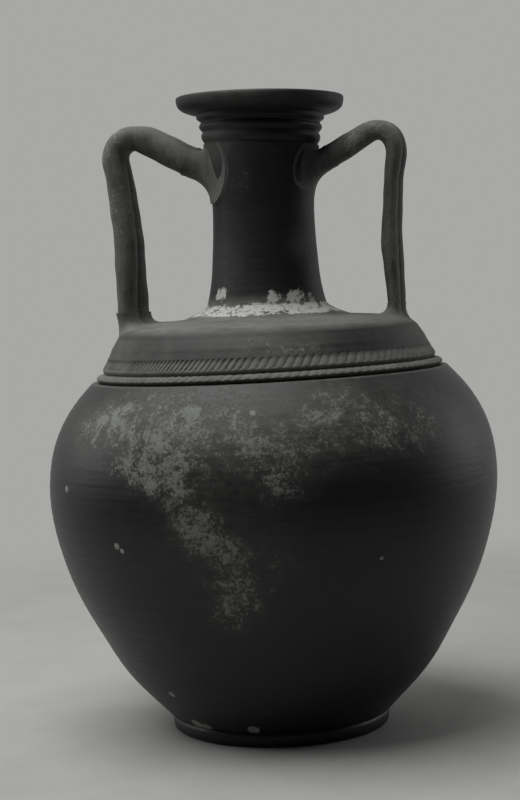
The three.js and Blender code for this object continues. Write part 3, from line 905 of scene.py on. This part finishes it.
@dataclass
class Pad:
    """A lump of luting clay round a handle's end, drawn down onto the body. Sizes in mm."""

    name: str
    handle: Handle
    host: tuple[Pair, ...]
    start: float  # arc length on the handle where the pad begins
    seat: float  # arc length on the host under the handle's middle
    spread_up: float
    spread_down: float
    spread_front: float
    spread_back: float
    swell: float = 1.06
    smear: float = 0.25
    ledge: float = 0.0  # extra thickness at the footprint's lower front
    dust: float = 0.5
    flip: float = 1.0  # 1 where the handle's outer side meets the host's upper side
    rows: int = 26

    def on_host(self, arc: np.ndarray, across: np.ndarray, lift: np.ndarray) -> np.ndarray:
        """Points on the host's skin, lifted off it along its outward normal.

        Args:
            arc: Arc lengths along the host's outline, in mm.
            across: Distances round the host from the handle's plane, in mm.
            lift: Heights over the skin, in mm.
        Returns:
            Points in mm.
        """
        line = rounded(np.array(self.host), 1.0, 3.0)
        whole = np.concatenate([[0.0], np.cumsum(np.linalg.norm(np.diff(line, axis=0), axis=1))])
        normal = -inside_of(line, 1.0) + line
        radius, height = (np.interp(arc, whole, column) for column in line.T)
        outward, upward = (np.interp(arc, whole, column) for column in normal.T)
        radius, height = radius + lift * outward, height + lift * upward
        angle = across / np.maximum(radius, 20.0)
        return np.stack([self.handle.side * radius * np.cos(angle), radius * np.sin(angle), height], axis=-1)

    def grid(self) -> np.ndarray:
        """Lofts from the handle's skin to the footprint.

        Each line is a quadratic curve from the handle's skin, towards the host right under it, and out to
        the footprint, sunk a little at its edge. Between them the clay is lifted by the smear's thickness.
        """
        skin_ring = self.handle.places(np.array([self.start]), self.swell)[0]
        inner_ring = self.handle.places(np.array([self.start]), 0.9)[0]
        across, out = (part[0] for part in self.handle.section(np.array([self.start])))
        along = self.flip * out
        size = np.hypot(across, out)
        cos, sin = along / size, across / size
        spread_along = np.where(cos > 0, self.spread_up, self.spread_down)
        spread_across = np.where(sin > 0, self.spread_back, self.spread_front)
        spread = np.hypot(cos * spread_along, sin * spread_across)
        turn = np.arctan2(sin, cos)
        spread = spread * (1.0 + 0.22 * ripple(turn, np.zeros(1), 5 + len(self.name)))
        lift = self.smear + self.ledge * np.clip(-0.75 * sin - 0.65 * cos, 0.0, 1.0) ** 2
        foot_along = self.seat + along + cos * spread
        foot_across = across + sin * spread
        under = HAND.shape(self.on_host(self.seat + along, across, np.full(len(size), 0.6)))
        share = np.linspace(0.0, 1.0, self.rows)[:, None, None]
        edge = HAND.shape(self.on_host(foot_along, foot_across, lift))
        body = (1 - share) ** 2 * skin_ring + 2 * share * (1 - share) * under + share ** 2 * edge
        sunk = HAND.shape(self.on_host(foot_along + cos * 1.2, foot_across + sin * 1.2,
                                       np.full(len(size), -0.5)))
        return np.concatenate([inner_ring[None], body, sunk[None]])

    def build(self, made: dict[str, bpy.types.Material]) -> bpy.types.Object:
        """Lofts the pad and dresses it."""
        grid = self.grid()
        share = np.linspace(0.0, 1.0, len(grid))[:, None] * np.ones(grid.shape[1])
        wave = ripple(np.linspace(0, 6.28, grid.shape[1])[None], share * 40.0, 91)
        marks = {"crust": 0.35 + 0.3 * wave, "dust": self.dust + 0.1 * wave, "lime": 0.0 * share}
        piece = skin(self.name + "_skin", grid, Ends.CAPPED, marks)
        dressed(piece, HANDLE, made)
        settle(piece, self.name)
        return piece


# Studio


@dataclass(frozen=True)
class Studio:
    """Floor, lights, world and camera. Metres, in the picture's own right, away and up."""

    floor_radius: float = 1.05
    floor_colour: Colour = (0.41, 0.414, 0.402)
    backdrop: Colour = (0.39, 0.395, 0.385)
    front_gloom: Colour = (0.035, 0.035, 0.035)
    eye: Colour = (-0.0076, -1.345, 0.328)
    pitch: float = 3.79
    roll: float = 2.085
    focal_pixels: float = 1840.0
    picture_height: float = 800.0

    def placed(self, right: float, away: float, up: float) -> Vector:
        """A point given right, away and up in the picture, in the jar's own axes."""
        x = right * math.cos(TURN) - away * math.sin(TURN)
        y = right * math.sin(TURN) + away * math.cos(TURN)
        return Vector((x, y, up))

    def add_camera(self) -> None:
        """Stands the camera where the picture was taken from, turned down by the pitch and rolled."""
        data = bpy.data.cameras.new("camera")
        data.sensor_width = 36.0
        data.lens = 36.0 * self.focal_pixels / self.picture_height
        data.clip_start = 0.05
        camera = bpy.data.objects.new("camera", data)
        pitch, roll = math.radians(self.pitch), math.radians(self.roll)
        level = self.placed(1.0, 0.0, 0.0)
        ahead = self.placed(0.0, math.cos(pitch), -math.sin(pitch))
        top = level.cross(ahead)
        right = level * math.cos(roll) - top * math.sin(roll)
        top = top * math.cos(roll) + level * math.sin(roll)
        axes = Matrix((right, top, -ahead)).transposed().to_4x4()
        camera.matrix_world = Matrix.Translation(self.placed(*self.eye)) @ axes
        bpy.context.scene.collection.objects.link(camera)
        bpy.context.scene.camera = camera

    def add_lamp(self, name: str, place: Colour, size: float, watts: float, aim: float = 0.2) -> None:
        """Hangs a square soft lamp that looks at the jar's axis.

        Args:
            name: The lamp's name.
            place: Right, away and up in the picture, in metres.
            size: Its side, in metres.
            watts: Its power.
            aim: Height on the axis that it looks at.
        """
        data = bpy.data.lights.new(name, "AREA")
        data.shape = "SQUARE"
        data.size = size
        data.energy = watts
        lamp = bpy.data.objects.new(name, data)
        where = self.placed(*place)
        look = (Vector((0.0, 0.0, aim)) - where).to_track_quat("-Z", "Y")
        lamp.matrix_world = Matrix.Translation(where) @ look.to_matrix().to_4x4()
        bpy.context.scene.collection.objects.link(lamp)

    def add_floor(self) -> None:
        """Lays a round floor that fades into the backdrop towards its edge."""
        angle = np.linspace(0.0, 2 * math.pi, 96, endpoint=False)
        ring = np.stack([np.cos(angle), np.sin(angle), np.zeros(96)], axis=1) * self.floor_radius
        mesh = bpy.data.meshes.new("floor")
        mesh.from_pydata(ring.tolist(), [], [list(range(96))])
        floor = bpy.data.objects.new("floor", mesh)
        bpy.context.scene.collection.objects.link(floor)
        made = bpy.data.materials.new("pale_floor")
        made.use_nodes = True
        d = Dresser(made.node_tree)
        here = d.place()
        far = d.node("ShaderNodeVectorMath", {"operation": "LENGTH"}, {0: here}).outputs["Value"]
        fade = Term(d, far).above(560.0, 1000.0)
        tone = d.noise(here, 60.0, 5.0, 0.6).above(0.3, 0.75)
        grit = d.noise(here, 3.0, 4.0, 0.6)
        darker = tuple(0.86 * part for part in self.floor_colour)
        colour = d.mixed(tone * 0.6 + grit * 0.3, self.floor_colour, darker)
        bump = d.node("ShaderNodeBump", {}, {"Height": grit, "Distance": 0.0004, "Strength": 0.6})
        shader = d.node("ShaderNodeBsdfPrincipled", {}, {
            "Base Color": colour, "Roughness": 0.9, "Normal": bump.outputs[0]})
        clear = d.node("ShaderNodeBsdfTransparent", {}, {})
        blend = d.node("ShaderNodeMixShader", {}, {0: fade, 1: shader.outputs[0], 2: clear.outputs[0]})
        d.node("ShaderNodeOutputMaterial", {}, {"Surface": blend.outputs[0]})
        mesh.materials.append(made)

    def light_world(self) -> None:
        """The backdrop for the camera, and round the jar a room that is pale behind and dim in front."""
        world = bpy.data.worlds.new("room")
        bpy.context.scene.world = world
        world.use_nodes = True
        d = Dresser(world.node_tree)
        direction = d.node("ShaderNodeTexCoord", {}, {}).outputs["Generated"]
        away = tuple(self.placed(0.0, 1.0, 0.25))
        facing = d.node("ShaderNodeVectorMath", {"operation": "DOT_PRODUCT"}, {0: direction, 1: away})
        room = d.mixed(Term(d, facing.outputs["Value"]).above(-0.2, 0.7), self.front_gloom, self.backdrop)
        path = d.node("ShaderNodeLightPath", {}, {})
        seen = Term(d, path.outputs["Is Camera Ray"]).most(Term(d, path.outputs["Is Transmission Ray"]))
        colour = d.mixed(seen, room, self.backdrop)
        shader = d.node("ShaderNodeBackground", {}, {"Color": colour, "Strength": 1.0})
        d.node("ShaderNodeOutputWorld", {}, {"Surface": shader.outputs[0]})

    def set_up(self) -> None:
        """Puts the whole studio round the jar."""
        self.add_camera()
        self.add_floor()
        self.light_world()
        self.add_lamp("sky_lamp", (-0.55, -0.3, 1.9), 1.6, 36.0)
        self.add_lamp("left_lamp", (-1.6, 0.35, 0.75), 0.9, 5.0)
        self.add_lamp("right_lamp", (1.6, 0.5, 0.6), 0.9, 3.2)
        view = bpy.context.scene.view_settings
        view.view_transform = "Standard"


# The jar


LEFT = Handle(
    "left_handle", -1.0,
    path=((36.5, 406.6), (50.4, 413.7), (69.0, 423.4), (88.0, 433.6), (98.6, 434.4), (107.6, 429.0),
          (110.4, 419.5), (107.0, 407.0), (102.0, 361.0), (101.0, 312.0), (101.0, 299.0)),
    keys=(0.0, 38.0, 66.0, 82.0, 112.0, 152.0, 190.0, 215.0),
    front=(9.6, 9.8, 9.2, 8.2, 8.2, 8.6, 7.4, 7.4),
    back=(9.4, 9.4, 8.8, 7.6, 7.2, 7.8, 7.2, 7.2),
    half_width=(8.6, 8.6, 8.6, 8.6, 8.6, 8.6, 9.0, 9.2),
    spread=(14.4, 14.4, 14.4, 14.4, 14.4, 14.4, 14.6, 14.6),
    twist=(2.6, 2.2, 1.4, 0.2, -1.6, -2.0, -4.4, -4.6),
    seed=5,
)
RIGHT = Handle(
    "right_handle", 1.0,
    path=((36.5, 406.4), (50.7, 413.6), (65.6, 421.7), (79.5, 430.4), (88.4, 431.6), (96.2, 426.8),
          (99.2, 417.0), (96.3, 398.0), (93.4, 352.0), (95.6, 311.0), (95.6, 299.0)),
    keys=(0.0, 32.0, 56.0, 72.0, 100.0, 148.0, 188.0, 205.0),
    front=(8.2, 8.0, 7.2, 6.2, 5.2, 6.0, 4.6, 5.0),
    back=(8.0, 8.0, 7.2, 6.0, 4.8, 5.4, 4.4, 4.8),
    half_width=(7.2, 7.2, 7.1, 7.0, 7.0, 7.0, 7.0, 7.0),
    spread=(11.8, 11.8, 11.6, 11.4, 11.4, 11.4, 11.4, 11.4),
    twist=(0.6, 0.8, 1.0, 1.6, 2.2, 2.6, 2.2, 2.0),
    seed=11,
)


@dataclass
class Jar:
    """The whole jar, from the foot up."""

    made: dict[str, bpy.types.Material] = field(default_factory=dict)

    def thrown(self) -> list[ThrownPiece]:
        """The wheel-thrown pieces and the bands laid on them."""
        lower = ((123.6, 258.6), (124.2, 259.4), (126.4, 260.6), (126.8, 262.0), (125.2, 263.6),
                 (120.6, 265.0))
        upper = ((120.6, 265.0), (121.6, 266.4), (121.8, 268.0), (120.6, 270.2), (118.8, 273.0),
                 (117.6, 275.5))
        return [
            FootRing("foot_ring", (), BURNISHED),
            Belly("belly", BELLY_LINE, BURNISHED, blur=6.0, columns=320),
            NickedBand("lower_nicked_band", lower, DUSTY, blur=0.5, columns=1320,
                       low=261.2, high=266.5, depth=1.9, slant=0.25,
                       pitches=(6.2, 6.0, 5.6, 5.8, 6.2, 6.4, 6.3, 6.2, 6.2)),
            NickedBand("upper_nicked_band", upper, DUSTY, blur=0.5, columns=1680, low=267.4, high=277.0,
                       depth=1.25, slant=0.6),
            Shoulder("shoulder", SHOULDER_LINE, DUSTY, blur=1.8, columns=320, step=1.0),
            ThrownPiece("neck", NECK_LINE, NECK, blur=5.0, columns=220, step=1.4, wheel=0.05),
            ThrownPiece("neck_collar", COLLAR_LINE, NECK, blur=0.45, columns=220, step=0.45, wheel=0.05),
            Rim("rim", RIM_LINE, NECK, blur=0.7, columns=220),
        ]

    def pads(self) -> list[Pad]:
        """The lumps of clay at the handles' ends."""
        neck = NECK_LINE
        dome = SHOULDER_LINE
        left_arc, right_arc = LEFT.centre()[1][-1], RIGHT.centre()[1][-1]
        return [
            Pad("left_neck_pad", LEFT, neck, 19.0, 101.0, 10.0, 14.0, 30.0, 14.0, dust=0.62, ledge=1.5),
            Pad("right_neck_pad", RIGHT, neck, 17.0, 101.0, 9.0, 15.0, 18.0, 12.0, dust=0.3),
            Pad("left_shoulder_pad", LEFT, dome, left_arc - 7.0, 27.0, 14.0, 9.0, 11.0, 11.0,
                swell=1.12, dust=0.7, flip=-1.0),
            Pad("right_shoulder_pad", RIGHT, dome, right_arc - 8.0, 32.5, 12.0, 13.0, 12.0, 12.0,
                dust=0.85, flip=-1.0),
        ]

    def build(self) -> None:
        """Builds every piece."""
        for piece in self.thrown():
            piece.build(self.made)
        for handle in (LEFT, RIGHT):
            handle.build(self.made)
        for pad in self.pads():
            pad.build(self.made)


def main() -> None:
    """Builds the jar and its studio."""
    logging.basicConfig(level=logging.INFO, format="%(name)s: %(message)s")
    Jar().build()
    Studio().set_up()


if __name__ == "__main__":
    main()
